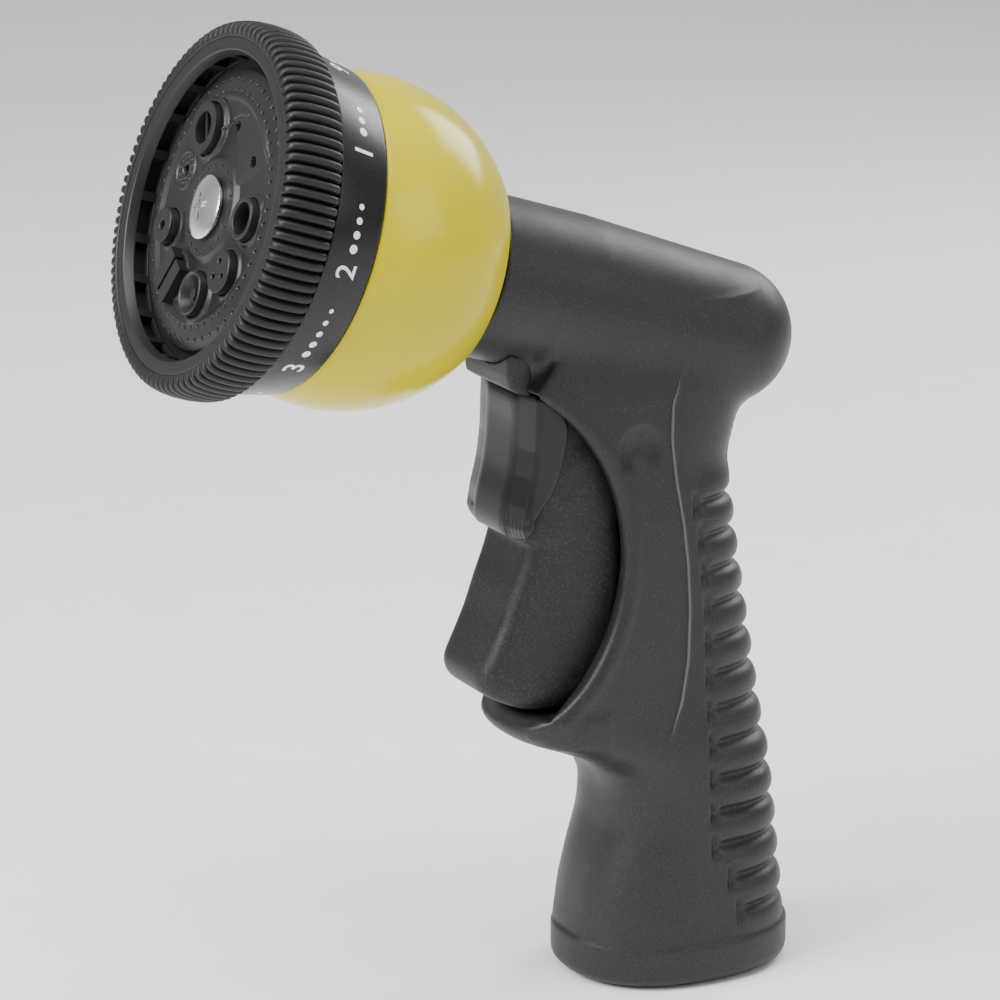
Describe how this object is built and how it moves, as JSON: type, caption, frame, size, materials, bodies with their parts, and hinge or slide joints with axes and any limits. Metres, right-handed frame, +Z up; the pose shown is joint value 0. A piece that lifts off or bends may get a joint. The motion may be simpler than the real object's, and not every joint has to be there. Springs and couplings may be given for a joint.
{
  "type": "hose spray nozzle",
  "caption": "Pistol-grip garden hose spray nozzle with a turning pattern dial, a squeeze trigger with a hold-open catch, and a threaded hose inlet in the foot of its handle.",
  "frame": {"origin": "centre of the hose inlet, on the bottom face of the handle", "axes": "+Z up the handle, away from the hose; +X forward, the way the nozzle sprays; +Y to the left of a person holding it. The barrel is tilted 18 degrees upward from +X"},
  "size_m": [0.1158, 0.06, 0.1678],
  "materials": {
    "grip_skin": "fine-grained soft skin with a faint sparkle",
    "core_plastic": "moulded, slightly speckled",
    "inlet_plastic": "moulded",
    "seal_rubber": "matt",
    "pin_steel": "plain",
    "seat_plastic": "moulded",
    "valve_brass": "machined",
    "collar_black": "satin",
    "bell_yellow": "glossy",
    "inner_plastic": "moulded",
    "spring_steel": "drawn wire",
    "screw_chrome": "polished",
    "face_plastic": "satin",
    "rib_rubber": "soft, matt",
    "band_black": "satin with printed marks",
    "outlet_plastic": "satin",
    "trigger_plastic": "grained",
    "catch_plastic": "satin",
    "stem_steel": "turned"
  },
  "bodies": {
    "body": {"grip_jacket": "grip_skin", "core_body": "core_plastic", "front_cap": "core_plastic", "inlet_insert": "inlet_plastic", "hose_washer": "seal_rubber", "trigger_pin": "pin_steel", "valve_seat": "seat_plastic", "valve_guide": "valve_brass", "guide_oring": "seal_rubber", "barrel_collar": "collar_black", "bell_housing": "bell_yellow", "bell_retainer": "inner_plastic", "index_plate": "inner_plastic", "index_oring": "seal_rubber", "port_seal": "seal_rubber", "detent_spring": "spring_steel", "centre_screw": "screw_chrome", "screw_washer": "pin_steel", "valve_spring": "spring_steel", "detent_ball": "pin_steel"},
    "dial": {"dial_ring": "face_plastic", "rib_sleeve": "rib_rubber", "pattern_band": "band_black", "turret_body": "inner_plastic", "face_plate": "face_plastic", "jet_tube": "outlet_plastic", "shower_disc": "outlet_plastic", "cone_cup": "outlet_plastic", "cone_pin": "outlet_plastic", "fan_block": "outlet_plastic", "mist_boss": "outlet_plastic", "flood_boss": "outlet_plastic"},
    "trigger": {"trigger_lever": "trigger_plastic", "catch_pin": "pin_steel"},
    "catch": {"hold_catch": "catch_plastic"},
    "stem": {"valve_stem": "stem_steel", "poppet_seal": "seal_rubber"}
  },
  "joints": [
    {"name": "dial_turn", "type": "hinge", "parent": "body", "child": "dial", "pos_m": [0.07608, 0, 0.13612], "axis": [0.9511, 0, 0.309], "continuous": true},
    {"name": "trigger_squeeze", "type": "hinge", "parent": "body", "child": "trigger", "pos_m": [0.022, 0, 0.101], "axis": [0, 1, 0], "range_deg": [0, 13], "stiffness_Nm_per_rad": 0.6, "springref_deg": -8.59},
    {"name": "stem_slide", "type": "slide", "parent": "body", "child": "stem", "axis": [-1, 0, 0], "range_m": [0, 0.0031], "deforming": ["valve_spring"]},
    {"name": "catch_swing", "type": "hinge", "parent": "trigger", "child": "catch", "pos_m": [0.0289, 0, 0.1023], "axis": [0, -1, 0], "range_deg": [0, 15]}
  ],
  "couplings": [
    {"joint": "stem_slide", "follows": "trigger_squeeze", "m_per_rad": 0.01366}
  ]
}
